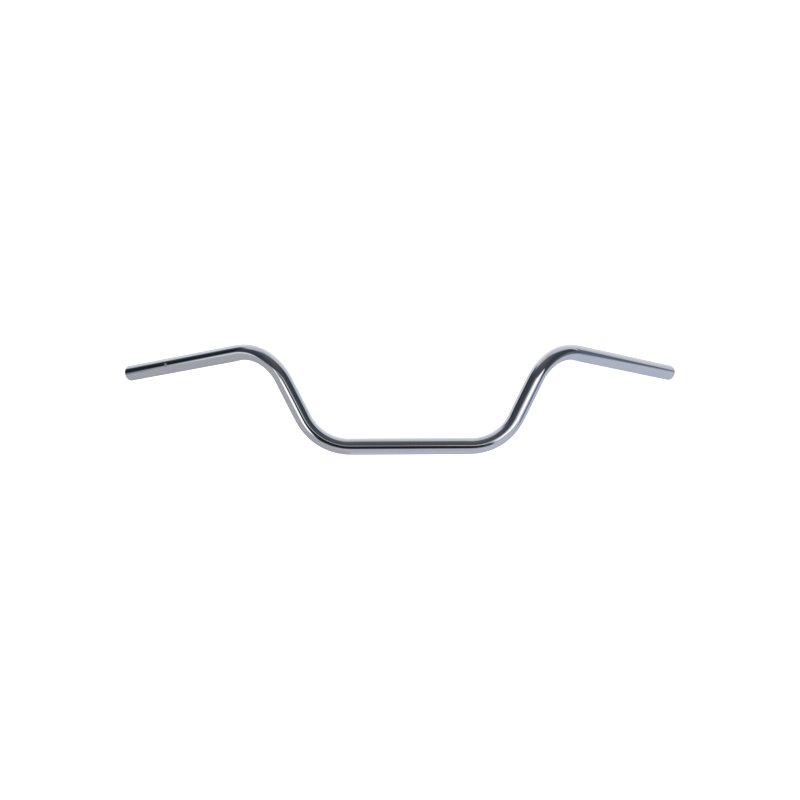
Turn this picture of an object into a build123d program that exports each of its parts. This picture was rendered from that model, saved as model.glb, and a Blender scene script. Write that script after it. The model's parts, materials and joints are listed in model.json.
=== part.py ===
from build123d import *
import os
from math import cos, radians, sin, sqrt, tan

# One-piece motorcycle handlebar bent from a single chrome-plated steel tube, with a
# vibration-damping weight held inside each end by rubber cushions and a spring clip.
# All sizes are in millimetres and all angles in degrees.
#
# Frame: the origin is the middle of the centre section's axis. +X runs along the centre
# section to the rider's left, +Y points back towards the rider and +Z points up.
# "left" and "right" in the names are the rider's.

# Driving dimensions: tube
tube_diameter = 22.2
tube_wall = 2.0
end_edge_radius = 0.5

# Driving dimensions: bent shape, along the tube's centre line
centre_straight = 160.0
lower_bend_radius = 70.0
upright_angle = 63.0
upright_straight = 57.0
upper_bend_radius = 66.0
grip_sweep_angle = 34.0
grip_droop_angle = 5.0
grip_straight = 204.0

# Driving dimensions: tab holes. A turn goes round the grip's axis, from straight
# forward (0) over the top (90) to straight back (180).
tab_hole_diameter = 5.0
tab_hole_depth = 80.0
tab_hole_turn = {"left": 250.0, "right": 0.0}

# Driving dimensions: inner weight. Every depth is measured into the tube from its end.
weight_recess = 4.0
weight_length = 130.0
weight_gap = 1.6
weight_chamfer = 0.8
thread_drill_diameter = 5.0
thread_drill_length = 25.0
drill_point_angle = 118.0
key_slot_width = 3.2
key_slot_depth = 3.0

# Driving dimensions: rubber cushions, each in a turned seat of the weight
cushion_seat_length = 20.0
cushion_seat_drop = 2.0
cushion_seat_play = 0.3
cushion_rib_count = 3
cushion_rib_height = 0.6
outer_cushion_from_face = 18.0
inner_cushion_from_end = 10.0

# Driving dimensions: spring clip, whose tab snaps into the tab hole from inside
clip_sheet = 0.8
clip_bend_radius = 1.4
clip_seat_drop = 1.5
clip_seat_play = 1.0
clip_ring_length = 7.0
clip_ring_opening = 6.0
clip_arm_rise = 6.0
clip_arm_run = 8.0
clip_bore_gap = 0.15
tab_side_gap = 0.5
tab_below_surface = 0.3

# Worked-out radii and widths
tube_radius = tube_diameter / 2
bore_radius = tube_radius - tube_wall
weight_radius = bore_radius - weight_gap
cushion_seat_radius = weight_radius - cushion_seat_drop
clip_seat_radius = weight_radius - clip_seat_drop
clip_ring_radius = clip_seat_radius + clip_sheet
clip_arm_width = tab_hole_diameter - 2 * tab_side_gap
clip_arm_top = sqrt((bore_radius - clip_bore_gap) ** 2 - (clip_arm_width / 2) ** 2)
clip_arm_underside = clip_arm_top - clip_sheet
tab_tip_radius = tube_radius - tab_below_surface
thread_drill_radius = thread_drill_diameter / 2
drill_point_length = thread_drill_radius / tan(radians(drill_point_angle / 2))

# Worked-out depths
weight_end = weight_recess + weight_length
thread_drill_end = weight_recess + thread_drill_length
cushion_seat_starts = {
    "outer": weight_recess + outer_cushion_from_face,
    "inner": weight_end - inner_cushion_from_end - cushion_seat_length,
}
cushion_length = cushion_seat_length - 2 * cushion_seat_play
cushion_band = cushion_length / (2 * cushion_rib_count - 1)
clip_ramp_end = tab_hole_depth - clip_arm_run
clip_ring_end = clip_ramp_end - clip_arm_rise
clip_ring_start = clip_ring_end - clip_ring_length
clip_seat_start = clip_ring_start - clip_seat_play
clip_seat_end = clip_ramp_end + clip_seat_play

# Centre line of the rider's left half: along the centre section, up the upright and back
# along the grip. A bend's corner is where the straight runs on both sides of it meet.
upright_direction = Vector(cos(radians(upright_angle)), 0, sin(radians(upright_angle)))
grip_direction = Vector(
    cos(radians(grip_droop_angle)) * cos(radians(grip_sweep_angle)),
    cos(radians(grip_droop_angle)) * sin(radians(grip_sweep_angle)),
    -sin(radians(grip_droop_angle)),
)
upper_bend_angle = upright_direction.get_angle(grip_direction)
lower_tangent = lower_bend_radius * tan(radians(upright_angle / 2))
upper_tangent = upper_bend_radius * tan(radians(upper_bend_angle / 2))
upright_run = lower_tangent + upright_straight + upper_tangent
lower_corner = Vector(centre_straight / 2 + lower_tangent, 0, 0)
upper_corner = lower_corner + upright_direction * upright_run
grip_end = upper_corner + grip_direction * (upper_tangent + grip_straight)


def on_side(side, vector):
    """A point or direction of the left half, mirrored for the right half."""
    return vector if side == "left" else Vector(-vector.X, vector.Y, vector.Z)


def end_plane(side):
    """Plane on a tube end: Z runs into the tube and X points out through the tab hole."""
    outward = on_side(side, grip_direction)
    forward = on_side(side, grip_direction.cross(Vector(0, 0, 1)).normalized())
    upward = on_side(side, Vector(0, 0, 1) - grip_direction * grip_direction.Z).normalized()
    turn = radians(tab_hole_turn[side])
    return Plane(
        origin=on_side(side, grip_end),
        x_dir=forward * cos(turn) + upward * sin(turn),
        z_dir=outward * -1,
    )


def turning_plane(end):
    """Plane of a half section to be turned about the tube: X is radius and Y is depth."""
    return Plane(origin=end.origin, x_dir=end.x_dir, z_dir=end.x_dir.cross(end.z_dir))


def hole_plane(end):
    """Plane across the tab hole, on the tube's axis, looking out through the hole."""
    return Plane(
        origin=end.origin + end.z_dir * tab_hole_depth, x_dir=end.z_dir, z_dir=end.x_dir
    )


ends = {side: end_plane(side) for side in ("left", "right")}
left_points = [lower_corner, upper_corner, grip_end]
right_points = [on_side("right", point) for point in reversed(left_points)]
bend_radii = [upper_bend_radius, lower_bend_radius, lower_bend_radius, upper_bend_radius]
os.makedirs("parts", exist_ok=True)

# Handlebar tube: the ring section is swept along the straights and tangent bends, the cut
# ends are rounded, and a tab hole is drilled through one wall of each grip.
with BuildPart() as handlebar_tube:
    with BuildLine() as centre_line:
        FilletPolyline(*right_points, *left_points, radius=bend_radii)
    with BuildSketch(ends["right"]) as tube_section:
        Circle(tube_radius)
        Circle(bore_radius, mode=Mode.SUBTRACT)
    sweep(path=centre_line.wire())
    swept_volume = handlebar_tube.part.volume
    for end in ends.values():
        rims = handlebar_tube.edges().filter_by(GeomType.CIRCLE)
        fillet(rims.sort_by_distance(end.origin)[:2], end_edge_radius)
        with BuildSketch(hole_plane(end)):
            Circle(tab_hole_diameter / 2)
        extrude(amount=tube_diameter, mode=Mode.SUBTRACT)
handlebar_tube.part.label = "handlebar_tube"
export_step(handlebar_tube.part, "parts/handlebar_tube.step")
tube_length = centre_line.wire().length
print("tube length", round(tube_length, 1))
print("swept / (section x length)", swept_volume / tube_section.sketch.area / tube_length)

for side, end in ends.items():
    tube_axis = Axis(end.origin, end.z_dir)
    half_section = turning_plane(end)

    # Inner weight: a turned steel bar with seats for the cushions and the clip. Its outer
    # face has a tapped hole and a key slot for a bar-end cap.
    with BuildPart() as inner_weight:
        with BuildSketch(half_section):
            with BuildLine():
                Polyline(
                    (0, weight_recess),
                    (weight_radius - weight_chamfer, weight_recess),
                    (weight_radius, weight_recess + weight_chamfer),
                    (weight_radius, weight_end - weight_chamfer),
                    (weight_radius - weight_chamfer, weight_end),
                    (0, weight_end),
                    close=True,
                )
            make_face()
            for start in cushion_seat_starts.values():
                with Locations((cushion_seat_radius, start)):
                    Rectangle(
                        cushion_seat_drop * 2,
                        cushion_seat_length,
                        align=(Align.MIN, Align.MIN),
                        mode=Mode.SUBTRACT,
                    )
            with Locations((clip_seat_radius, clip_seat_start)):
                Rectangle(
                    clip_seat_drop * 2,
                    clip_seat_end - clip_seat_start,
                    align=(Align.MIN, Align.MIN),
                    mode=Mode.SUBTRACT,
                )
        revolve(axis=tube_axis)
        with BuildSketch(half_section):
            with BuildLine():
                Polyline(
                    (0, weight_recess),
                    (thread_drill_radius, weight_recess),
                    (thread_drill_radius, thread_drill_end),
                    (0, thread_drill_end + drill_point_length),
                    close=True,
                )
            make_face()
        revolve(axis=tube_axis, mode=Mode.SUBTRACT)
        with BuildSketch(end.offset(weight_recess)):
            Rectangle(tube_diameter, key_slot_width)
        extrude(amount=key_slot_depth, mode=Mode.SUBTRACT)
    inner_weight.part.label = f"{side}_inner_weight"
    export_step(inner_weight.part, f"parts/{side}_inner_weight.step")

    # Cushions: ribbed rubber sleeves that grip the bore and the weight's seats.
    for place, start in cushion_seat_starts.items():
        with BuildPart() as cushion:
            with BuildSketch(half_section):
                with Locations((cushion_seat_radius, start + cushion_seat_play)):
                    Rectangle(
                        bore_radius - cushion_seat_radius,
                        cushion_length,
                        align=(Align.MIN, Align.MIN),
                    )
                for relief in range(cushion_rib_count - 1):
                    relief_start = start + cushion_seat_play + cushion_band * (2 * relief + 1)
                    with Locations((bore_radius - cushion_rib_height, relief_start)):
                        Rectangle(
                            cushion_rib_height * 2,
                            cushion_band,
                            align=(Align.MIN, Align.MIN),
                            mode=Mode.SUBTRACT,
                        )
            revolve(axis=tube_axis)
        cushion.part.label = f"{side}_{place}_cushion"
        export_step(cushion.part, f"parts/{side}_{place}_cushion.step")

    # Spring clip: an open ring round the weight with one arm, whose folded tab stands in
    # the tab hole and stops the weight from sliding out.
    with BuildPart() as spring_clip:
        with BuildSketch(end.offset(clip_ring_start)):
            Circle(clip_ring_radius)
            Circle(clip_seat_radius, mode=Mode.SUBTRACT)
            Rectangle(
                tube_diameter,
                clip_ring_opening,
                align=(Align.MAX, Align.CENTER),
                mode=Mode.SUBTRACT,
            )
        extrude(amount=clip_ring_length)
        with BuildSketch(half_section):
            with BuildLine() as underside:
                FilletPolyline(
                    (clip_seat_radius, clip_ring_start),
                    (clip_seat_radius, clip_ring_end),
                    (clip_arm_underside, clip_ramp_end),
                    (clip_arm_underside, tab_hole_depth + clip_sheet / 2),
                    (tab_tip_radius, tab_hole_depth + clip_sheet / 2),
                    radius=clip_bend_radius,
                )
                offset(amount=clip_sheet, side=Side.RIGHT)
            make_face()
        extrude(amount=clip_arm_width / 2, both=True)
    spring_clip.part.label = f"{side}_spring_clip"
    export_step(spring_clip.part, f"parts/{side}_spring_clip.step")
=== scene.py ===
# %% [markdown]
# A chrome handlebar
#
# This lesson dresses a bent-tube motorcycle handlebar. Its frame, the exact CAD model, is
# loaded first and is never moved: everything made here is in its metres and its axes. The
# origin is the middle of the straight centre section, +X is the rider's left, +Y points back
# to the rider and +Z is up.

# %% Load the frame
import json
from math import atan2, cos, degrees, pi, radians, sin, sqrt, tan
import bmesh
import bpy
import numpy as np
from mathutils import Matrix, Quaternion, Vector


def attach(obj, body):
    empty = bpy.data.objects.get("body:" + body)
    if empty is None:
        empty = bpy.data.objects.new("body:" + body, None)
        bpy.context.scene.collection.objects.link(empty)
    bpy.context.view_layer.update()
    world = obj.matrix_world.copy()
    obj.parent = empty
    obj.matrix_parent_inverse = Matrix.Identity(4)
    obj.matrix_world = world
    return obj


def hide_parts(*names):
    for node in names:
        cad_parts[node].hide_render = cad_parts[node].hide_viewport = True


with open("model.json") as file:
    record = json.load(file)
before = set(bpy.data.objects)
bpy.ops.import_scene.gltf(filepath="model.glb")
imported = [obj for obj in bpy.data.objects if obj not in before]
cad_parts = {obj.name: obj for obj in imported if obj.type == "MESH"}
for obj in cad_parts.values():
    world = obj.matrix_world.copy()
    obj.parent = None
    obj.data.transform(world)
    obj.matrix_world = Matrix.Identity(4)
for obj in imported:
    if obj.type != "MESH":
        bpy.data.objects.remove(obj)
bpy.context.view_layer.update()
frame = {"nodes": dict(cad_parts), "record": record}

mounts = {mount["name"]: mount for mount in frame["record"]["mounts"]}
print("nodes:", sorted(frame["nodes"]))

# %% [markdown]
# The camera
#
# The bar is seen from the front, a few degrees round to the rider's right and a little from
# below. A distance of about 1.3 m with a 44 mm lens gives the mild perspective in which the
# swept-back grips look slightly thinner than the centre. The camera is placed by turning
# round a point on the bar, because angles are easier to judge than coordinates.

# %% Place the camera


def add(name, data):
    """A new object in the scene."""
    thing = bpy.data.objects.new(name, data)
    bpy.context.scene.collection.objects.link(thing)
    return thing


camera_aim = Vector((-0.01383, 0.0, 0.06177))
camera_distance = 1.3107
camera_azimuth = radians(-3.23)
camera_elevation = radians(-3.46)
camera_roll = radians(-0.34)
camera_lens = 44.25
camera_nearest = 0.005

back = Vector((
    sin(camera_azimuth) * cos(camera_elevation),
    -cos(camera_azimuth) * cos(camera_elevation),
    sin(camera_elevation),
))
camera = add("camera", bpy.data.cameras.new("camera"))
camera.data.lens = camera_lens
camera.data.clip_start = camera_nearest
camera.location = camera_aim + back * camera_distance
camera.rotation_mode = "QUATERNION"
camera.rotation_quaternion = Quaternion(back, camera_roll) @ (-back).to_track_quat("-Z", "Y")
bpy.context.scene.camera = camera
print("camera at", [round(x, 3) for x in camera.location])

# %% [markdown]
# Shader maths as Python
#
# A node tree is a formula drawn as boxes. The small class below lets the formula be written
# as a formula instead: it wraps one socket, and +, - and * on it add the Math nodes. Every
# other node comes from its one method, node().

# %% Wrap a socket
class Socket:
    """An output socket of a node tree that can be used in Python sums."""

    def __init__(self, tree, output=None):
        self.tree = tree
        self.output = output

    def node(self, kind, settings=None, inputs=None, out=0):
        """Add a node: settings are set first, then each input gets a value or a link."""
        made = self.tree.nodes.new(kind)
        for name, value in (settings or {}).items():
            setattr(made, name, value)
        for name, value in (inputs or {}).items():
            if isinstance(value, Socket):
                self.tree.links.new(value.output, made.inputs[name])
            else:
                made.inputs[name].default_value = value
        return Socket(self.tree, made.outputs[out] if len(made.outputs) else None)

    def sibling(self, out):
        """Another output of the same node."""
        return Socket(self.tree, self.output.node.outputs[out])

    def math(self, operation, *values):
        """Add a Math node whose values are sockets or numbers."""
        return self.node("ShaderNodeMath", {"operation": operation}, dict(enumerate(values)))

    def __add__(self, other):
        return self.math("ADD", self, other)

    def __sub__(self, other):
        return self.math("SUBTRACT", self, other)

    def __rsub__(self, other):
        return self.math("SUBTRACT", other, self)

    def __mul__(self, other):
        return self.math("MULTIPLY", self, other)

    def __abs__(self):
        return self.math("ABSOLUTE", self)

    __radd__ = __add__
    __rmul__ = __mul__

    def step(self, low, high):
        """A value that rises smoothly from 0 at low to 1 at high."""
        return self.node(
            "ShaderNodeMapRange",
            {"interpolation_type": "SMOOTHSTEP"},
            {"Value": self, "From Min": low, "From Max": high},
        )

    def blend(self, low, high):
        """The colour low where this value is 0, and high where it is 1."""
        values = {0: self}
        for place, colour in ((6, low), (7, high)):
            values[place] = colour if isinstance(colour, Socket) else (*colour, 1.0)
        return self.node("ShaderNodeMix", {"data_type": "RGBA"}, values, out=2)


print("socket maths ready")

# %% [markdown]
# The room that the chrome mirrors
#
# Chrome has almost no colour of its own, so its look is the room around it. The bar hangs
# in front of a white sweep, in a studio that is dark beyond the lamps. In the dark there is
# a low bright window on each side of the person at the camera, and under them a pale floor.
# Cards and lamps could build that room, but a world shader that depends only on direction
# gives the same reflections without any noise. Azimuth 0 is the front, 90 is the rider's
# left and -90 is the rider's right, and every angle here is in degrees. A light of 1 shows as
# white, and the paper is a little brighter so that no grey is left in it.

# %% Point the world's rulers
world = bpy.data.worlds.new("studio")
bpy.context.scene.world = world
world.use_nodes = True
world.node_tree.nodes.clear()
sky = Socket(world.node_tree)
direction = sky.node("ShaderNodeTexCoord", out="Generated")
to_left = sky.node("ShaderNodeSeparateXYZ", inputs={0: direction})
to_rider, to_top = to_left.sibling(1), to_left.sibling(2)
azimuth = sky.math("ARCTAN2", to_left, 0 - to_rider) * degrees(1)
elevation = sky.math("ARCSINE", to_top) * degrees(1)
aside = abs(azimuth)
on_left = azimuth.step(-3, 3)
print("world rulers:", len(world.node_tree.nodes), "nodes")

# %% Make the tools that place light by direction


def by_side(right, left):
    """One value on the rider's right and another on the rider's left."""
    return right + on_left * (left - right)


def band(ruler, middle, full, faded):
    """1 within full degrees of the middle of a band, and 0 beyond faded degrees."""
    return 1 - abs(ruler - middle).step(full, faded)


def cover(light, mask, level):
    """The light so far, with a new level wherever the mask is 1."""
    return light * (1 - mask) + level * mask


print("light tools ready")

# %% Light the sweep, the ceiling and the floor
paper_white = 1.15
sweep_light = 0.39
ceiling_light = 0.835 + azimuth.step(-20, 60) * 0.06
floor_light = 0.63 + azimuth.step(-60, 60) * 0.19
above_floor = elevation.step(-5, 5)
sweep = aside.step(95, 150) * elevation.step(0, 46) * (1 - elevation.step(50, 80))
light = cover(floor_light, above_floor, ceiling_light + sweep * sweep_light)
print("nodes with the sweep:", len(world.node_tree.nodes))

# %% Hang the windows
# Each window ends at its jambs, its foot and its eaves. Above the sill the glass is grey.
window_white = by_side(1.88, 1.92)
window_grey = by_side(0.31, 0.30)
inner_jamb = by_side(5.4, 11.3)
outer_jamb = by_side(41.6, 40.1)
window_foot = by_side(-26.0, -13.1)
eaves_level_to = by_side(10.8, 31.9)
eaves_fall = by_side(0.403, 0.96)
eaves = by_side(11.2, 9.6) - sky.math("MAXIMUM", aside - eaves_level_to, 0.0) * eaves_fall
sill = by_side(0.2, 3.5) - aside * by_side(0.203, -0.043)

below_eaves = 1 - (elevation - eaves).step(-2.5, 2.5)
windows = below_eaves * (elevation - window_foot).step(-5, 4)
windows = windows * (aside - inner_jamb).step(-2, 2) * (1 - (aside - outer_jamb).step(-6, 6))
above_sill = (elevation - sill).step(-1.2, 1.2) * (1 - aside.step(26, 42))
light = cover(light, windows, cover(window_white, above_sill, window_grey))
print("nodes with the windows:", len(world.node_tree.nodes))

# %% Darken the room above them
room_dark = 0.075
front_light = 0.036
upper_light = 0.05
doorway_light = 1.1
corner_light = 0.23
room_top = elevation + aside * aside * 0.0051
wall_lean = sky.math("MAXIMUM", elevation - 10, 0.0) * 0.36
right_wall = (azimuth + 88.5 + wall_lean).step(-3, 3)
left_wall = 1 - (azimuth - 80.8).step(-2.5, 2.5)
room = right_wall * left_wall * (1 - below_eaves) * (1 - room_top.step(64, 86))
beside = aside.step(12, 46)
doorway = band(azimuth, -69.4, 3.6, 12) * (1 - elevation.step(-8, 8))
far_corner = azimuth.step(58, 78) * (1 - elevation.step(-10, 22))
room_light = room_dark + (1 - beside) * front_light + elevation.step(25, 58) * upper_light
room_light = room_light + doorway * doorway_light + far_corner * corner_light
light = cover(light, room, room_light)
print("nodes with the room:", len(world.node_tree.nodes))

# %% Stand two black flags behind the bar
# They give the back of the chrome a dark core, and are too low and too far round for the
# front to mirror them.
flag_light = 0.07
flag_strength = 0.92
flags = band(aside, 137, 11, 17) * elevation.step(-12, -6) * (1 - elevation.step(6, 12))
light = cover(light, flags * flag_strength, flag_light)
print("nodes with the flags:", len(world.node_tree.nodes))

# %% Stand two dark screens beside the bar and the person in front of it
screen_strength = 0.88
right_screen_light = 0.015
left_screen_light = 0.13
person_light = 0.025
right_screen = band(azimuth, -90.8, 11.4, 18.9) * band(elevation, 25.6, 23.9, 34.2)
right_screen = right_screen * screen_strength
light = cover(light, right_screen, right_screen_light)
left_screen_height = azimuth * 1.82 - 141.2
left_screen = band(azimuth, 84.7, 5.6, 11.1) * band(elevation, left_screen_height, 7, 17.5)
left_screen = left_screen * screen_strength
light = cover(light, left_screen, left_screen_light)
person_edge = by_side(15.8, 8.0) - elevation * by_side(0.42, 0.60)
person = (1 - (aside - person_edge).step(-2, 2)) * (1 - elevation.step(2, 7))
person = person * elevation.step(-40.4, -28.4)
light = cover(light, person, person_light)
print("nodes with the screens:", len(world.node_tree.nodes))

# %% [markdown]
# Colour in the dark
#
# The floor and the ceiling are a cool white, the windows are neutral, and the dark parts of
# the room are a deep blue grey. Only mirror reflections see the room. The camera, and soft
# surfaces such as the floor and the rubber, see the even white of a studio tent.

# %% Tint the room and keep the view behind the bar white
floor_tint = on_left.blend((0.958, 0.986, 1.054), (0.948, 0.971, 1.077))
floor_tint = azimuth.step(38, 64).blend(floor_tint, (0.898, 0.963, 1.13))
dark_tint = beside.blend((0.93, 0.985, 1.085), (0.838, 0.947, 1.215))
room_tint = above_floor.blend(floor_tint, (0.958, 0.972, 1.065))
for mask, tint in (
    (sweep, (0.978, 0.996, 1.024)),
    (room, dark_tint),
    (room * doorway, (0.985, 0.995, 1.02)),
    (left_screen, (0.83, 0.935, 1.235)),
    (right_screen, (0.8, 0.98, 1.22)),
    (person, (0.87, 0.96, 1.17)),
    (windows, (1.0, 1.01, 0.99)),
    (windows * above_sill * (1 - on_left), (1.05, 1.07, 0.88)),
):
    room_tint = mask.blend(room_tint, tint)
mirrored = sky.node("ShaderNodeLightPath", out="Is Glossy Ray")
glow = sky.node("ShaderNodeBackground", inputs={
    "Color": mirrored.blend((1.0, 1.0, 1.0), room_tint),
    "Strength": cover(paper_white, mirrored, light),
})
sky.node("ShaderNodeOutputWorld", inputs={"Surface": glow})
bpy.context.scene.view_settings.view_transform = "Standard"
print("room nodes:", len(world.node_tree.nodes))

# %% [markdown]
# The floor
#
# The bar is hung in the air, as for a catalogue, with a white paper floor well below it that
# sweeps up into the background. The white studio and one wide lamp overhead wash the paper
# to white. Mirrors do not show the paper or the lamp, because they see only the world.

# %% Lay the floor and the sweep behind it
floor_height = -0.35
floor_front = -3.0
floor_back = 1.6
sweep_radius = 0.8
sweep_top = 2.6
floor_half_width = 3.5
sweep_steps = 24
rail = [(floor_front, floor_height), (floor_back, floor_height)]
for i in range(1, sweep_steps + 1):
    t = pi / 2 * i / sweep_steps
    rail.append((floor_back + sweep_radius * sin(t), floor_height + sweep_radius * (1 - cos(t))))
rail.append((floor_back + sweep_radius, sweep_top))
floor_mesh = bpy.data.meshes.new("floor")
floor_mesh.from_pydata(
    [(side * floor_half_width, y, z) for y, z in rail for side in (-1, 1)],
    [],
    [(2 * i, 2 * i + 1, 2 * i + 3, 2 * i + 2) for i in range(len(rail) - 1)],
)
floor = add("floor", floor_mesh)
floor.visible_glossy = False
for polygon in floor_mesh.polygons:
    polygon.use_smooth = True
print("floor rail points:", len(rail))

# %% Colour the floor


def new_finish(name):
    """A material with an empty node tree, and the socket that starts its formulas."""
    material = bpy.data.materials.new(name)
    material.use_nodes = True
    material.node_tree.nodes.clear()
    return material, Socket(material.node_tree)


floor_paper, start = new_finish("floor_paper")
matt = start.node("ShaderNodeBsdfDiffuse", inputs={"Color": (0.9, 0.9, 0.905, 1.0)})
start.node("ShaderNodeOutputMaterial", inputs={"Surface": matt})
floor_mesh.materials.append(floor_paper)
print("floor finish:", floor_paper.name)

# %% Hang the lamp
lamp_width = 4.0
lamp_power = 85
lamp_place = Vector((0.0, 0.3, 2.6))
lamp_aim = Vector((0.0, 0.4, floor_height))
lamp = add("overhead_lamp", bpy.data.lights.new("overhead_lamp", "AREA"))
lamp.data.size = lamp_width
lamp.data.energy = lamp_power
lamp.location = lamp_place
lamp.rotation_mode = "QUATERNION"
lamp.rotation_quaternion = (lamp_aim - lamp_place).to_track_quat("-Z", "Y")
lamp.visible_glossy = False
lamp.visible_camera = False
print("lamp:", lamp.name)

# %% [markdown]
# The tube's line
#
# The real bar is one steel tube, bent cold on a round die four times. Its centre line is
# therefore straight runs joined by circular arcs. The mounts in the frame give the centre
# section's length and the grips' place and direction, and the bend radii and the uprights'
# lean complete the line.

# %% Measure the runs and bends
tube_radius = mounts["centre_clamp"]["dims"]["r_mm"] / 1000
tube_wall = 0.002
bore_radius = tube_radius - tube_wall
centre_half = mounts["centre_clamp"]["dims"]["length_mm"] / 2000
upright_lean = radians(63)
lower_bend = 0.070
upper_bend = 0.066
end_edge = 0.0005
grip_axis = Vector(mounts["left_grip"]["axis"]).normalized()
grip_run = mounts["left_grip"]["dims"]["length_mm"] / 1000 + end_edge
grip_end = Vector(mounts["left_grip"]["pos_m"]) + grip_axis * grip_run / 2
upright_axis = Vector((cos(upright_lean), 0, sin(upright_lean)))
lower_tangent = lower_bend * tan(upright_lean / 2)
lower_corner = Vector((centre_half + lower_tangent, 0, 0))
upper_turn = upright_axis.angle(grip_axis)
upper_tangent = upper_bend * tan(upper_turn / 2)
upper_corner = grip_end - grip_axis * (grip_run + upper_tangent)
print("upper bend turns", round(degrees(upper_turn), 1), "degrees")
print("uprights meet the corner within",
      round(1000 * (upper_corner - lower_corner).cross(upright_axis).length, 3), "mm")

# %% [markdown]
# Walking along the tube
#
# Everything on the tube is placed by its distance along the centre line, counted from the
# middle, and its angle round the tube. A Blender curve with a round bevel would be quicker
# to write, but it cannot flatten in the bends, round its cut ends or leave a clean hole. So
# the line is a function, and the skin is woven on it ring by ring.

# %% Find any place on the centre line
lower_arc = lower_bend * upright_lean
upright_run = (upper_corner - lower_corner).length - lower_tangent - upper_tangent
upper_arc = upper_bend * upper_turn
run_ends = np.cumsum([centre_half, lower_arc, upright_run, upper_arc, grip_run])
half_length = float(run_ends[-1])
lower_pivot = Vector((0, -1, 0))
upper_pivot = upright_axis.cross(grip_axis).normalized()


def line_at(s):
    """Centre, direction and two cross directions at s metres left of the middle."""
    mirror = -1.0 if s < 0 else 1.0
    s = abs(s)
    place = Vector((min(s, centre_half), 0, 0))
    along, across, over = Vector((1, 0, 0)), Vector((0, 1, 0)), Vector((0, 0, 1))
    bends = (
        (run_ends[0], lower_arc, lower_bend, lower_pivot, run_ends[2] - run_ends[1]),
        (run_ends[2], upper_arc, upper_bend, upper_pivot, half_length - run_ends[3]),
    )
    for start, arc, radius, pivot, straight in bends:
        if s > start:
            turn = Quaternion(pivot, min(s - start, arc) / radius)
            inward = pivot.cross(along)
            place = place + inward * radius - turn @ (inward * radius)
            along, across, over = turn @ along, turn @ across, turn @ over
            place = place + along * min(max(s - start - arc, 0), straight)
    flip = Vector((mirror, 1, 1))
    return place * flip, along * flip * mirror, across * flip, over * flip


tip = line_at(half_length)[0]
print("tube length", round(2000 * half_length, 1), "mm; tip is within",
      round(1e6 * (tip - grip_end).length, 2), "micrometres of the frame's")

# %% Flatten the bends a little
lower_flat = 0.03
upper_flat = 0.05
flat_fade = 0.012


def flattening(s):
    """How much thinner the tube is in the plane of a bend, and the way to the bend's inside."""
    place, along, across, over = line_at(s)
    distance = abs(s)
    for first, last, amount, pivot in (
        (run_ends[0], run_ends[1], lower_flat, lower_pivot),
        (run_ends[2], run_ends[3], upper_flat, upper_pivot),
    ):
        if first - flat_fade < distance < last + flat_fade:
            rise = (min((distance - first) / flat_fade, (last - distance) / flat_fade, 1) + 1) / 2
            mirror = -1.0 if s < 0 else 1.0
            inward = (pivot * Vector((mirror, 1, 1))).cross(along)
            return amount * rise * rise * (3 - 2 * rise), inward
    return 0.0, across


print("flattest:", round(flattening((run_ends[2] + run_ends[3]) / 2)[0], 3))

# %% [markdown]
# Weaving the skin
#
# The tube is a closed skin: along the outside from the right end to the left, round the left
# lip, back along the bore and round the right lip. Each ring has the same number of points.
# The bend rings are close together so that the outline stays round. Chrome shows every
# facet, so the normals are worked out exactly and given to the mesh instead of being
# averaged from its faces.

# %% Find the tab holes
ring_points = 96
point_turn = 2 * pi / ring_points
hole_radius = 0.0025
hole_depth = 0.080
hole_turn = {"left": radians(250), "right": radians(0)}
hole_line = half_length - hole_depth
way = {"left": 1, "right": -1}


def hole_angle(side):
    """Angle of the tab hole round the ring, in the left half's cross directions."""
    place, along, across, over = line_at(hole_line)
    forward = grip_axis.cross(Vector((0, 0, 1))).normalized()
    upward = forward.cross(grip_axis)
    turn = hole_turn[side]
    outward = forward * cos(turn) + upward * sin(turn)
    return atan2(outward.dot(over), outward.dot(across)) % (2 * pi)


hole_column = {side: round(hole_angle(side) / point_turn) for side in hole_turn}
twist = {side: hole_angle(side) - hole_column[side] * point_turn for side in hole_turn}
print("tab holes at ring points:", hole_column)

# %% Choose the rings
# Round a hole the rings are as far apart as their points, for a block of square faces.
hole_reach = 7
hole_ring_gap = tube_radius * point_turn
ring_counts = (10, 42, 8, 49, 15)
last_rings = 9
hole_rings = [hole_line + hole_ring_gap * i for i in range(-hole_reach, hole_reach + 1)]
ring_marks = (0, *run_ends[:4], hole_rings[0])
half_rings = []
for first, last, count in zip(ring_marks, ring_marks[1:], ring_counts):
    half_rings += list(np.linspace(first, last, count, endpoint=False))
half_rings += hole_rings
half_rings += list(np.linspace(hole_rings[-1], half_length - end_edge, last_rings + 1)[1:])
print("rings on the outside:", 2 * len(half_rings) - 1)

# %% Lay out the skin's profile
# Each station is a distance along the line, a radius and a normal's two parts: away from
# the line and along it.
lip_steps = 6
rings = [-s for s in reversed(half_rings[1:])] + half_rings
stations = [(s, tube_radius, 1.0, 0.0) for s in rings]


def lip(end):
    """Stations round the rounded rim of one end, from the outside to the bore."""
    made = []
    for centre_radius, start in ((tube_radius - end_edge, 0), (bore_radius + end_edge, 1)):
        for i in range(lip_steps + 1):
            a = pi / 2 * (start + i / lip_steps)
            s = end * (half_length - end_edge + end_edge * sin(a))
            made.append((s, centre_radius + end_edge * cos(a), cos(a), end * sin(a)))
    return made


stations += lip(1)[1:-1]
bore_start = len(stations)
stations += [(s, bore_radius, -1.0, 0.0) for s in reversed(rings)]
stations += list(reversed(lip(-1)[1:-1]))
print("stations:", len(stations))

# %% Set the points of every ring


def twist_at(s):
    """How far the ring at s is turned, so that a line of points runs through the tab hole."""
    return twist["left" if s > 0 else "right"] * min(abs(s) / run_ends[2], 1)


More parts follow.
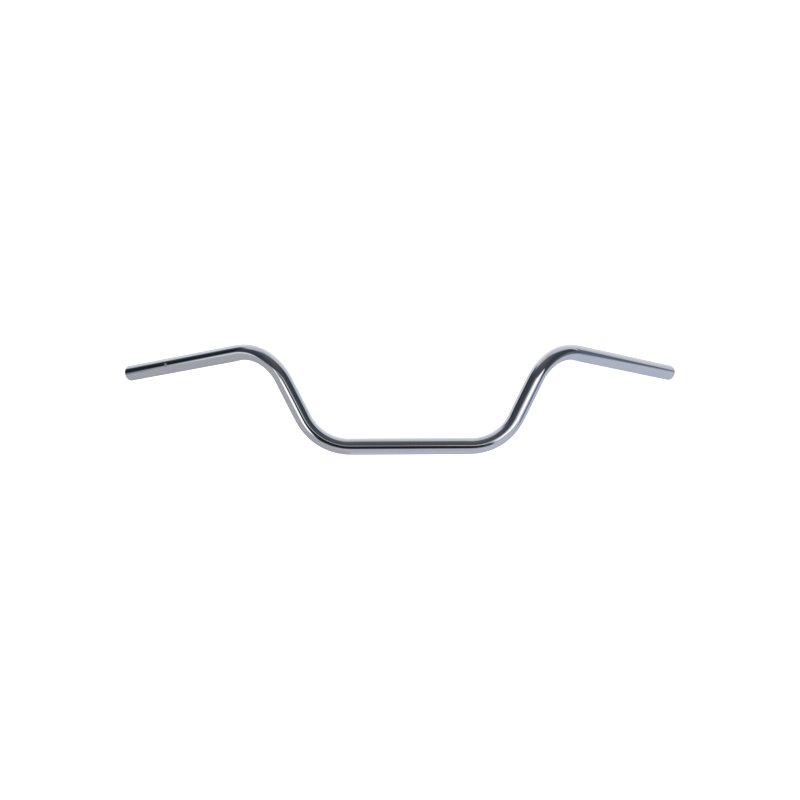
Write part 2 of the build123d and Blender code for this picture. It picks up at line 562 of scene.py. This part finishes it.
points = []
normals = []
for s, radius, away, forward in stations:
    place, along, across, over = line_at(s)
    flat, inward = flattening(s)
    for j in range(ring_points):
        a = j * point_turn + twist_at(s)
        out = across * cos(a) + over * sin(a)
        into_bend = out.dot(inward)
        points.append(place + (out - inward * flat * into_bend) * radius)
        normals.append(((out + inward * flat * into_bend) * away + along * forward).normalized())
print("ring points:", len(points))

# %% [markdown]
# The tab holes
#
# A small hole in each grip lets the spring clip's tab through. Round the hole the woven
# rings are opened up and a round patch is set in, with a slightly rounded rim. A Boolean
# would cut the same hole, but it leaves long thin faces that catch the light on chrome.

# %% Walk round the block of faces that a hole opens
hole_row = {end: int(np.abs(np.array(rings) - end * hole_line).argmin()) for end in (1, -1)}
last_row = len(rings) - 1
low, high = -hole_reach, hole_reach
hole_border = [(high, k) for k in range(low, high)] + [(i, high) for i in range(high, low, -1)]
hole_border += [(low, k) for k in range(high, low, -1)] + [(i, low) for i in range(low, high)]
print("points round a hole's block:", len(hole_border))

# %% Set a round patch into the skin
hole_edge = 0.00025
hole_edge_steps = 4
patch_shares = (0.72, 0.46, 0.22, 0.0)


def add_hole(side):
    """Set the points of one tab hole and return its loops, outside the tube and inside it."""
    end, column = way[side], hole_column[side]
    place, along, across, over = line_at(end * hole_line)
    a = column * point_turn + twist[side]
    outward = across * cos(a) + over * sin(a)
    sideways = over * cos(a) - across * sin(a)

    def drop(u, v, radius, lift, away, toward):
        height = sqrt(radius * radius - v * v) + lift
        points.append(place + along * u + sideways * v + outward * height)
        radial = (along * u + sideways * v).normalized()
        surface = (outward * height + sideways * v).normalized()
        normals.append((surface * away - radial * toward).normalized())
        return len(points) - 1

    def block_loop(first_station, step):
        return [
            (first_station + step * (hole_row[end] + end * i)) * ring_points
            + (column + k) % ring_points
            for i, k in hole_border
        ]

    def surface_loop(radius, sign, share):
        loop = []
        rim = (1 - share) * (hole_radius + hole_edge)
        for i, k in hole_border:
            angle = atan2(k, i)
            u = (share * hole_ring_gap * i + rim * cos(angle)) * end
            v = share * radius * sin(k * point_turn) + rim * sin(angle)
            loop.append(drop(u, v, radius, 0, sign, 0))
        return loop

    def rim_loop(radius, sign, t):
        loop = []
        rho = hole_radius + hole_edge * (1 - sin(t))
        lift = -sign * hole_edge * (1 - cos(t))
        for i, k in hole_border:
            angle = atan2(k, i)
            u, v = rho * cos(angle) * end, rho * sin(angle)
            loop.append(drop(u, v, radius, lift, sign * cos(t), sin(t)))
        return loop

    def loops(first_station, step, radius, sign):
        quarter = [pi / 2 * n / hole_edge_steps for n in range(1, hole_edge_steps + 1)]
        made = [block_loop(first_station, step)]
        made += [surface_loop(radius, sign, share) for share in patch_shares]
        return made + [rim_loop(radius, sign, t) for t in quarter]

    outside = loops(0, 1, tube_radius, 1)
    inside = loops(bore_start + last_row, -1, bore_radius, -1)
    return outside, list(reversed(inside))


hole_loops = [add_hole(side) for side in way]
print("points with the holes:", len(points))

# %% Join the points into faces
chrome_face, bore_face = 0, 1
faces = []
face_finish = []
bore_stations = range(bore_start, bore_start + len(rings))
opened = set()
for side, end in way.items():
    for first, step in ((0, 1), (bore_start + last_row, -1)):
        for i in range(low, high):
            row = first + step * (hole_row[end] + i + (step < 0))
            opened.update((row, (hole_column[side] + k) % ring_points) for k in range(low, high))
for i in range(len(stations)):
    nearer, farther = i * ring_points, (i + 1) % len(stations) * ring_points
    inside = i in bore_stations and i + 1 in bore_stations
    for j in range(ring_points):
        if (i, j) in opened:
            continue
        k = (j + 1) % ring_points
        faces.append((nearer + j, nearer + k, farther + k, farther + j))
        face_finish.append(bore_face if inside else chrome_face)
for outside, inside in hole_loops:
    loops = outside + inside
    for n, (near, far) in enumerate(zip(loops, loops[1:])):
        for j in range(len(near)):
            k = (j + 1) % len(near)
            faces.append((near[j], near[k], far[k], far[j]))
            face_finish.append(chrome_face if n < len(outside) - 1 else bore_face)
print("faces:", len(faces))

# %% Make a mesh from points, faces and exact normals


def make_mesh(name, points, faces, normals, finishes):
    """A mesh whose faces all look outward, and the points that it uses."""
    spots = np.array([tuple(point) for point in points], float)
    given = np.array([tuple(normal) for normal in normals], float)
    corners = np.array(faces)
    a, b, c, d = (spots[corners[:, n]] for n in range(4))
    wrong = (np.cross(c - a, d - b) * given[corners].sum(1)).sum(1) < 0
    corners[wrong] = corners[wrong][:, ::-1]
    used, corners = np.unique(corners, return_inverse=True)
    corners = corners.reshape(-1, 4)
    mesh = bpy.data.meshes.new(name)
    mesh.from_pydata(spots[used].tolist(), [], corners.tolist())
    mesh.polygons.foreach_set("use_smooth", np.ones(len(corners), bool))
    mesh.polygons.foreach_set("material_index", np.array(finishes, np.int32))
    mesh.update()
    mesh.normals_split_custom_set_from_vertices(given[used].tolist())
    return mesh, used


def show(name, mesh, replaced=None):
    """Put a finished mesh in the scene, riding on the frame, in place of a CAD node if named."""
    piece = add(name, mesh)
    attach(piece, "root")
    if replaced:
        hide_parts(replaced)
    return piece


tube_mesh, kept_points = make_mesh("bent_tube", points, faces, normals, face_finish)
print("tube mesh:", len(tube_mesh.vertices), "points,", len(tube_mesh.polygons), "faces")

# %% Remember where each point was before bending
# The finish follows the tube and not the room, so each point keeps its place on the tube
# before it was bent: how far along, and where across.
straight = []
for s, radius, away, forward in stations:
    for j in range(ring_points):
        a = j * point_turn + twist_at(s)
        straight.append((s, radius * cos(a), radius * sin(a)))
for point in points[len(straight):]:
    end = 1 if point.x > 0 else -1
    place, along, across, over = line_at(end * hole_line)
    offset = point - place
    straight.append((end * hole_line + offset.dot(along), offset.dot(across), offset.dot(over)))
unbent = tube_mesh.attributes.new("unbent", "FLOAT_VECTOR", "POINT")
unbent.data.foreach_set("vector", np.array(straight, np.float32)[kept_points].ravel())
print("unbent length:", round(max(p[0] for p in straight) * 2, 4))

# %% [markdown]
# Polished chrome
#
# The tube is steel, polished, then plated with nickel and a thin skin of chrome. Chrome
# reflects a little over half of the light and tints it very slightly blue. Up close the
# skin is not perfect: the polishing belt leaves faint waves along the tube, handling leaves
# hairline scratches and a thin haze of fingerprints, and tiny pits show where the plating
# did not take. Each of these is a small change in roughness or height.

# %% Make the patterns that the finishes share
micrometre = 0.000001
hairline_width = 0.03


def fine_noise(vector, scale, detail=2.0, roughness=0.5):
    """Noise from 0 to 1 around a half."""
    return vector.node(
        "ShaderNodeTexNoise",
        inputs={"Vector": vector, "Scale": scale, "Detail": detail, "Roughness": roughness},
    )


def stretched(vector, x, y=1.0, z=1.0):
    """The same place measured with other rulers, so that a pattern on it is drawn out."""
    return vector.node("ShaderNodeVectorMath", {"operation": "MULTIPLY"}, {0: vector, 1: (x, y, z)})


def hairlines(vector, scale, *rulers):
    """Thin curved lines: the places where a stretched noise is close to a half."""
    line = abs(fine_noise(stretched(vector, *rulers), scale, 1.0) - 0.5)
    return 1 - line.step(0.0, hairline_width)


def send_out(start, height, inputs):
    """Raise the height, in metres, as bump and send the shader to the material's output."""
    bump = start.node("ShaderNodeBump", inputs={"Strength": 1.0, "Distance": 1.0, "Height": height})
    shader = start.node("ShaderNodeBsdfPrincipled", inputs={**inputs, "Normal": bump})
    start.node("ShaderNodeOutputMaterial", inputs={"Surface": shader})


print("finish helpers ready")

# %% Mix the chrome's haze and scratches
chrome, start = new_finish("polished_chrome")
on_tube = start.node("ShaderNodeAttribute", {"attribute_name": "unbent"}, out=1)
along_tube = start.node("ShaderNodeSeparateXYZ", inputs={0: on_tube})
end_distance = half_length - abs(along_tube)

haze = fine_noise(on_tube, 18.0, 4.0, 0.55).step(0.42, 0.72)
prints = fine_noise(stretched(on_tube, 0.6), 90.0, 3.0, 0.6).step(0.52, 0.7)
long_scratches = hairlines(on_tube, 260.0, 0.12)
long_scratches = long_scratches * fine_noise(on_tube, 35.0).step(0.56, 0.66)
ring_scratches = hairlines(on_tube, 300.0, 1.0, 0.2, 0.2)
ring_scratches = ring_scratches * fine_noise(on_tube, 28.0).step(0.6, 0.7)
pit_cells = start.node("ShaderNodeTexVoronoi", inputs={"Vector": on_tube, "Scale": 220.0})
pits = 1 - pit_cells.step(0.0, 0.05)
end_wear = (1 - end_distance.step(0.0, 0.004)) * fine_noise(on_tube, 400.0)
print("chrome marks:", len(chrome.node_tree.nodes), "nodes")

# %% Mix the chrome
chrome_roughness = 0.035 + haze * 0.02 + prints * 0.03 + pits * 0.3 + end_wear * 0.16
chrome_roughness = chrome_roughness + long_scratches * 0.07 + ring_scratches * 0.06
clean = (0.565, 0.572, 0.59)
chrome_colour = (haze * 0.5).blend(clean, (0.535, 0.545, 0.572))
chrome_colour = pits.blend(chrome_colour, (0.16, 0.13, 0.11))

belt_waves = fine_noise(stretched(on_tube, 0.25), 120.0, 1.0)
draw_lines = fine_noise(stretched(on_tube, 0.02), 900.0, 2.0)
plating_grain = fine_noise(on_tube, 3500.0, 1.0)
height = belt_waves * (12 * micrometre) + draw_lines * (0.8 * micrometre)
height = height + plating_grain * (0.15 * micrometre) - pits * (30 * micrometre)
height = height - (long_scratches + ring_scratches) * (1.5 * micrometre)
send_out(start, height, {
    "Base Color": chrome_colour,
    "Metallic": 1.0,
    "Specular Tint": (0.8, 0.8, 0.82, 1.0),
    "Roughness": chrome_roughness,
})
print("chrome nodes:", len(chrome.node_tree.nodes))

# %% [markdown]
# Inside the tube
#
# Plating does not reach far into a tube. Just inside the mouth the chrome thins out over a
# few millimetres, and beyond it the bore is bare drawn steel, dull, oiled and freckled with
# rust, with a low welded seam along its whole length.

# %% Mix the bore
bore, start = new_finish("bare_steel_bore")
on_tube = start.node("ShaderNodeAttribute", {"attribute_name": "unbent"}, out=1)
along_tube = start.node("ShaderNodeSeparateXYZ", inputs={0: on_tube})
across_tube = along_tube.sibling(1)
end_distance = half_length - abs(along_tube)

ragged = end_distance + (fine_noise(on_tube, 700.0, 3.0) - 0.5) * 0.006
plated = 1 - ragged.step(0.003, 0.008)
seam = 1 - abs(across_tube).step(0.0006, 0.0016)
rust_cover = fine_noise(on_tube, 160.0, 6.0, 0.65).step(0.46, 0.68)
freckles = fine_noise(on_tube, 900.0, 3.0, 0.6).step(0.55, 0.68)
draw_marks = fine_noise(stretched(on_tube, 0.03), 1400.0, 3.0)
steel_colour = draw_marks.blend((0.14, 0.135, 0.13), (0.3, 0.29, 0.28))
rust_colour = freckles.blend((0.17, 0.075, 0.035), (0.09, 0.035, 0.018))
rusted = rust_cover * (1 - plated)
bore_colour = (rusted * 0.75).blend(steel_colour, rust_colour)
bore_colour = (seam * 0.5 * (1 - plated)).blend(bore_colour, (0.1, 0.1, 0.11))
bore_roughness = 0.42 + rusted * 0.38 + draw_marks * 0.1
height = seam * (150 * micrometre) + draw_marks * (10 * micrometre)
height = height + rust_cover * freckles * (40 * micrometre)
send_out(start, height, {
    "Base Color": plated.blend(bore_colour, clean),
    "Metallic": 1 - rusted * 0.8,
    "Roughness": bore_roughness * (1 - plated) + plated * 0.12,
})
tube_mesh.materials.append(chrome)
tube_mesh.materials.append(bore)
show("bent_tube", tube_mesh, "handlebar_tube")
print("bore nodes:", len(bore.node_tree.nodes))

# %% [markdown]
# What is inside each grip
#
# A bar this light would buzz in the hands, so each grip holds a damping weight: a turned and
# zinc-plated steel rod in two rubber cushions. A spring clip on the rod snaps its tab into
# the tab hole and holds the rod in. Turned parts are an outline spun about an axis. A Screw
# modifier could spin it, but a helical thread needs every ring in hand, so the spinning is
# done here. Boolean and Weighted Normal modifiers then cut the piece and even its shading.

# %% Find the mouth of each grip


def mouth(side):
    """Middle of a tube end, and the directions in, out through the tab hole, and across both."""
    place, along, across, over = line_at(way[side] * half_length)
    into = -along * way[side]
    outward = across * cos(hole_angle(side)) + over * sin(hole_angle(side))
    return place, into, outward, into.cross(outward)


for side in way:
    print(side, "tab hole looks towards", [round(x, 2) for x in mouth(side)[2]])

# %% Round the corners of an outline


def soften(outline, radius, steps=3):
    """A closed outline of (depth, radius) with its corners rounded, but not those on the axis."""
    soft = []
    corners = [Vector(corner) for corner in outline]
    for before, corner, after in zip(corners[-1:] + corners, corners, corners[1:] + corners[:1]):
        if corner.y == 0:
            soft.append(corner)
            continue
        one_way, other_way = (before - corner).normalized(), (after - corner).normalized()
        reach = radius / tan(one_way.angle(other_way) / 2)
        for i in range(steps + 1):
            t = i / steps
            soft.append(corner + one_way * reach * (1 - t) ** 2 + other_way * reach * t ** 2)
    return soft


print("corner softener ready")

# %% Spin an outline about the grip
turned_points = 72


def closed_mesh(name, spots, skin):
    """A mesh whose faces are turned to look outward."""
    mesh = bpy.data.meshes.new(name)
    mesh.from_pydata(spots, [], skin)
    builder = bmesh.new()
    builder.from_mesh(mesh)
    bmesh.ops.recalc_face_normals(builder, faces=builder.faces)
    builder.to_mesh(mesh)
    builder.free()
    return mesh


def turned(name, stand, outline, grooves=None):
    """A mesh spun from a closed outline of (depth, radius), starting at the place of a stand.

    A stand is a place and three directions: the axis and two across it. Grooves, if given,
    says how much to add to the radius at a depth, a radius and an angle.
    """
    place, into, outward, sideways = stand
    spots, loops, skin = [], [], []
    for depth, radius in outline:
        ring = []
        for j in range(turned_points):
            if radius > 0 or j == 0:
                a = 2 * pi * j / turned_points
                away = radius + (grooves(depth, radius, a) if grooves else 0)
                spots.append(place + into * depth + (outward * cos(a) + sideways * sin(a)) * away)
            ring.append(len(spots) - 1)
        loops.append(ring)
    for near, far in zip(loops, loops[1:] + loops[:1]):
        for j in range(turned_points):
            k = (j + 1) % turned_points
            corner_set = tuple(dict.fromkeys((near[j], near[k], far[k], far[j])))
            if len(corner_set) > 2:
                skin.append(corner_set)
    return closed_mesh(name, spots, skin)


print("points round a turned part:", turned_points)

# %% Cut, even out the shading and note the place of every point


def with_modifiers(piece):
    """A new mesh, as the piece's modifiers make it."""
    graph = bpy.context.evaluated_depsgraph_get()
    return bpy.data.meshes.new_from_object(piece.evaluated_get(graph))


def settle(mesh, side, cutter=None, sharpest=35):
    """The mesh after an optional cut, with even normals and each point's place in its grip.

    Edges that turn by more than the sharpest angle, in degrees, stay crisp.
    """
    blank = add("blank", mesh)
    if cutter:
        tool = add("cutter", cutter)
        cut = blank.modifiers.new("cut", "BOOLEAN")
        cut.operation = "DIFFERENCE"
        cut.object = tool
    cut_mesh = with_modifiers(blank)
    cut_mesh.polygons.foreach_set("use_smooth", np.ones(len(cut_mesh.polygons), bool))
    cut_mesh.set_sharp_from_angle(angle=radians(sharpest))
    blank.modifiers.clear()
    blank.data = cut_mesh
    blank.modifiers.new("even", "WEIGHTED_NORMAL").keep_sharp = True
    done = with_modifiers(blank)
    done.name = mesh.name
    bpy.data.objects.remove(blank)
    if cutter:
        bpy.data.objects.remove(tool)
    place, *directions = mouth(side)
    in_grip = [[(vertex.co - place).dot(x) for x in directions] for vertex in done.vertices]
    note = done.attributes.new("in_grip", "FLOAT_VECTOR", "POINT")
    note.data.foreach_set("vector", np.array(in_grip, np.float32).ravel())
    return done


print("settling ready")

# %% [markdown]
# The inner weight
#
# The rod has turned seats for the two cushions and the clip. In its outer face there is a
# threaded hole for the screw of a bar-end cap, and a slot that keeps the cap from turning.
# The thread is real geometry: along the hole the radius follows a V that climbs one
# millimetre in each turn.

# %% Draw the weight's outline
weight_face = 0.004
weight_back = 0.134
weight_radius = 0.0075
weight_chamfer = 0.0008
cushion_seats = (0.022, 0.104)
cushion_seat_run = 0.020
cushion_seat_radius = 0.0055
clip_seat = (0.058, 0.073)
clip_seat_radius = 0.006
drill_radius = 0.0025
drill_end = 0.029
drill_point = 0.0015
thread_pitch = 0.001
thread_depth = 0.00054
thread_start = 0.0049
thread_end = 0.0245
thread_lead = 0.0002
mouth_radius = 0.0032
rings_per_turn = 12
turned_corner = 0.00012

chamfered = weight_radius - weight_chamfer
rod_side = [(weight_face, chamfered), (weight_face + weight_chamfer, weight_radius)]
seats = [(start, start + cushion_seat_run, cushion_seat_radius) for start in cushion_seats]
seats.append((*clip_seat, clip_seat_radius))
for first, last, seat_radius in sorted(seats):
    rod_side += [(first, weight_radius), (first, seat_radius)]
    rod_side += [(last, seat_radius), (last, weight_radius)]
rod_side += [(weight_back - weight_chamfer, weight_radius), (weight_back, chamfered)]
rod_side = soften([(weight_face, 0), *rod_side, (weight_back, 0)], turned_corner)[1:]
thread_rings = round((thread_end - thread_start) / thread_pitch * rings_per_turn)
hole_wall = [(weight_face, mouth_radius), (thread_start - thread_lead, drill_radius)]
thread_depths = np.linspace(thread_start, thread_end, thread_rings).tolist()
hole_wall += [(depth, drill_radius) for depth in thread_depths]
hole_wall += [(drill_end, drill_radius), (drill_end + drill_point, 0)]
weight_outline = [*rod_side, *reversed(hole_wall)]
print("outline points:", len(weight_outline))

# %% Cut the thread
groove_slope = 1.6
groove_land = 0.35


def thread(depth, radius, turn):
    """The groove of the thread at one place of the hole."""
    if radius != drill_radius or not thread_start <= depth <= thread_end:
        return 0
    phase = (depth / thread_pitch - turn / (2 * pi)) % 1
    groove = min(max(groove_slope * (1 - abs(2 * phase - 1)) - groove_land, 0), 1)
    fade = min((depth - thread_start) / thread_pitch, (thread_end - depth) / thread_pitch, 1)
    return groove * thread_depth * fade


print("turns of thread:", round((thread_end - thread_start) / thread_pitch, 1))

# %% Turn the weights and cut their key slots
slot_half_width = 0.0016
slot_floor = 0.007
slot_flare = 0.00025
cutter_above = 0.001
cutter_reach = 0.012


def slot_cutter(side):
    """A bar across the weight's face, flared at the top so that it leaves chamfered edges."""
    place, into, outward, sideways = mouth(side)
    section = [
        (weight_face - cutter_above, slot_half_width + slot_flare + cutter_above),
        (weight_face + slot_flare, slot_half_width),
        (slot_floor - slot_flare, slot_half_width),
        (slot_floor, slot_half_width - slot_flare),
    ]
    section += [(depth, -half) for depth, half in reversed(section)]
    spots = [
        place + into * depth + sideways * half + outward * reach
        for reach in (-cutter_reach, cutter_reach)
        for depth, half in section
    ]
    count = len(section)
    skin = [range(count), range(2 * count - 1, count - 1, -1)]
    for i in range(count):
        after = (i + 1) % count
        skin.append((i, i + count, after + count, after))
    return closed_mesh("cutter", spots, skin)


weights = {}
for side in way:
    rod = turned(f"{side}_weight", mouth(side), weight_outline, thread)
    rod = settle(rod, side, slot_cutter(side))
    weights[side] = show(f"{side}_weight", rod, f"{side}_inner_weight")
    print(side, "weight:", len(rod.vertices), "points")

# %% [markdown]
# Zinc on turned steel
#
# The cutting tool leaves one fine groove for each turn of the lathe, so the marks run round
# the rod and in rings on its face. Both follow from one rule: the pattern changes with depth
# and with radius and hardly at all round the rod. Zinc plating on top is a soft, slightly
# blue metal that dulls in cloudy patches and picks up a little white bloom.

# %% Mix the zinc


def grip_rulers(start):
    """The noted place of a point in its grip, and how far the point is from the grip's axis."""
    in_grip = start.node("ShaderNodeAttribute", {"attribute_name": "in_grip"}, out=1)
    across = stretched(in_grip, 0.0)
    return in_grip, start.node("ShaderNodeVectorMath", {"operation": "LENGTH"}, {0: across}, out=1)


zinc, start = new_finish("zinc_plated_steel")
in_grip, from_axis = grip_rulers(start)
depth_in = start.node("ShaderNodeSeparateXYZ", inputs={0: in_grip})
lathe_place = start.node("ShaderNodeCombineXYZ", inputs={0: depth_in, 1: from_axis, 2: 0.0})
tool_marks = fine_noise(lathe_place, 5200.0, 2.0)
wide_marks = fine_noise(lathe_place, 700.0, 2.0)
clouds = fine_noise(in_grip, 260.0, 4.0, 0.6).step(0.4, 0.68)
bloom = fine_noise(in_grip, 900.0, 5.0, 0.7).step(0.58, 0.72)
nicks = hairlines(in_grip, 420.0, 0.5) * fine_noise(in_grip, 120.0).step(0.55, 0.65)
zinc_colour = clouds.blend((0.56, 0.585, 0.62), (0.45, 0.465, 0.49))
zinc_colour = (bloom * 0.45).blend(zinc_colour, (0.72, 0.73, 0.74))
height = tool_marks * (6 * micrometre) + wide_marks * (5 * micrometre)
height = height - nicks * (10 * micrometre) + bloom * (3 * micrometre)
send_out(start, height, {
    "Base Color": zinc_colour,
    "Metallic": 1 - bloom * 0.4,
    "Roughness": 0.26 + clouds * 0.12 + bloom * 0.3 + wide_marks * 0.08 - nicks * 0.06,
})


def coat(piece, finish):
    """Give a piece one finish all over."""
    piece.data.materials.clear()
    piece.data.materials.append(finish)


for weight in weights.values():
    coat(weight, zinc)
print("zinc nodes:", len(zinc.node_tree.nodes))

# %% [markdown]
# The rubber cushions
#
# Each cushion is a moulded sleeve with three ribs. The ribs press on the bore and squash a
# little flat there, so their crests are nearly flat with soft shoulders, and the valleys
# between them stay round. A fine line of flash shows where the two halves of the mould met.

# %% Mould the cushions
cushion_play = 0.0003
rib_count = 3
rib_height = 0.0006
rib_shoulder = 0.00022
rib_squash = 0.00002
flash_height = 0.00007
flash_thinness = 14
cushion_run = cushion_seat_run - 2 * cushion_play
rib_run = cushion_run / (2 * rib_count - 1)
crest = bore_radius - rib_squash
valley = bore_radius - rib_height
above_seat = cushion_seat_radius + 0.001


def flash_line(depth, radius, turn):
    """The thin raised line along the mould's two seams, in the valleys only."""
    if above_seat < radius < crest - rib_shoulder:
        return flash_height * max(0, 1 - abs(sin(turn)) * flash_thinness)
    return 0


cushions = []
for side in way:
    for place_name, seat_start in zip(("outer", "inner"), cushion_seats):
        front = seat_start + cushion_play
        outline = [(front, cushion_seat_radius)]
        for rib in range(rib_count):
            rib_front = front + 2 * rib * rib_run
            if rib:
                outline.append((rib_front, valley))
            outline += [(rib_front, crest), (rib_front + rib_run, crest)]
            if rib < rib_count - 1:
                outline.append((rib_front + rib_run, valley))
        outline.append((front + cushion_run, cushion_seat_radius))
        outline = soften(outline, rib_shoulder, 4)
        name = f"{side}_{place_name}_sleeve"
        sleeve = settle(turned(name, mouth(side), outline, flash_line), side, sharpest=60)
        cushions.append(show(name, sleeve, f"{side}_{place_name}_cushion"))
print("cushions:", [cushion.name for cushion in cushions])

# %% [markdown]
# Moulded rubber
#
# Rubber is nearly black but never quite: a matt skin with a fine grain from the mould, pale
# dusty bloom in the hollows and shinier crests where it has rubbed along the bore.

# %% Mix the rubber
rubber, start = new_finish("moulded_rubber")
in_grip, from_axis = grip_rulers(start)
rubbed = from_axis.step(bore_radius - 0.00025, bore_radius - 0.00005)
dust = fine_noise(in_grip, 500.0, 5.0, 0.65).step(0.45, 0.7) * (1 - rubbed)
mould_grain = fine_noise(in_grip, 5200.0, 3.0, 0.6)
scuffs = hairlines(in_grip, 700.0, 0.15) * rubbed
rubber_colour = dust.blend((0.022, 0.022, 0.023), (0.075, 0.072, 0.068))
rubber_colour = (scuffs * 0.6).blend(rubber_colour, (0.06, 0.06, 0.06))
rubber_roughness = 0.62 + dust * 0.25 - rubbed * 0.2 + mould_grain * 0.1
height = mould_grain * (20 * micrometre) - scuffs * (10 * micrometre) + dust * (6 * micrometre)
send_out(start, height, {"Base Color": rubber_colour, "Roughness": rubber_roughness})
for cushion in cushions:
    coat(cushion, rubber)
print("rubber nodes:", len(rubber.node_tree.nodes))

# %% [markdown]
# The snap buttons
#
# The clip's tab ends in a pressed button that fills the tab hole almost completely. From
# outside it is all that shows of the clip: a pale round spot, nearly flush with the chrome.
# It is turned about the hole's own axis, so here the depth counts outward from the tube's
# centre line.

# %% Press the buttons
button_radius = 0.0023
button_foot = 0.0083
button_top = 0.01087
button_dish = 0.00006
button_rim = 0.0003
buttons = {}
for side in way:
    place, into, outward, sideways = mouth(side)
    stand = (line_at(way[side] * hole_line)[0], outward, into, sideways)
    outline = [(button_foot, 0), (button_foot, button_radius), (button_top, button_radius)]
    outline = soften([*outline, (button_top - button_dish, 0)], button_rim, 5)
    button = settle(turned(f"{side}_snap_button", stand, outline), side, sharpest=50)
    buttons[side] = show(f"{side}_snap_button", button)
print("buttons:", [button.name for button in buttons.values()])

# %% [markdown]
# The spring clips
#
# The clip's bent strip is the same shape in the frame as on the real part, so the CAD piece
# stays and only gets a finish: cold-rolled spring steel, pale and satin, with rolling lines,
# a faint straw and blue tint from the tempering and a few specks of rust. The clip has no
# noted places on it, so its patterns use the object's own coordinates.

# %% Temper the clips
spring, start = new_finish("satin_spring_steel")
in_place = start.node("ShaderNodeTexCoord", out="Object")
temper = fine_noise(in_place, 190.0, 3.0, 0.55).step(0.38, 0.64)
rolling = fine_noise(stretched(in_place, 0.25), 1800.0, 2.0)
specks = fine_noise(in_place, 1100.0, 4.0, 0.7).step(0.62, 0.72)
steel_tint = temper.blend((0.66, 0.635, 0.585), (0.57, 0.59, 0.635))
steel_tint = (rolling * 0.4).blend(steel_tint, (0.7, 0.69, 0.68))
steel_tint = (specks * 0.8).blend(steel_tint, (0.13, 0.06, 0.03))
send_out(start, rolling * (6 * micrometre) + specks * (10 * micrometre), {
    "Base Color": steel_tint,
    "Metallic": 1 - specks * 0.8,
    "Roughness": 0.36 + rolling * 0.16 + specks * 0.4,
})
for side in way:
    coat(buttons[side], spring)
    clip = frame["nodes"][f"{side}_spring_clip"]
    for finish_slot in clip.material_slots:
        finish_slot.material = spring
    print(side, "clip finishes:", len(clip.material_slots))
